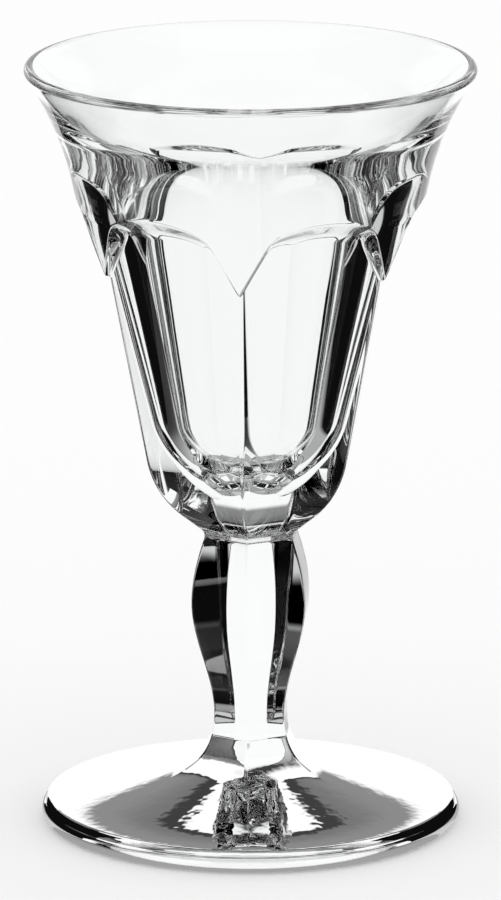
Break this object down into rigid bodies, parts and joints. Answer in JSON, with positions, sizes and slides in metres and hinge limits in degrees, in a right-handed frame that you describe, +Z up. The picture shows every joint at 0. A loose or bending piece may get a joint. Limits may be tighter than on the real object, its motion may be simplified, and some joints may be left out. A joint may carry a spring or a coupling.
{
  "type": "cordial glass",
  "caption": "Small stemmed glass of clear pressed glass with an arch-panelled bowl under a flared plain rim, a six-sided baluster stem and a round foot, for cordials and liqueurs.",
  "frame": {"origin": "centre of the foot on the table", "axes": "+Z up along the axis of the glass; a ridge between two panels faces -Y, and panels face +X and -X"},
  "size_m": [0.0534, 0.0534, 0.092],
  "materials": {
    "clear_glass": "clear soda-lime glass, pressed in a mould and fire polished"
  },
  "bodies": {
    "root": {"bowl": "clear_glass", "stem": "clear_glass", "foot": "clear_glass"}
  },
  "joints": []
}
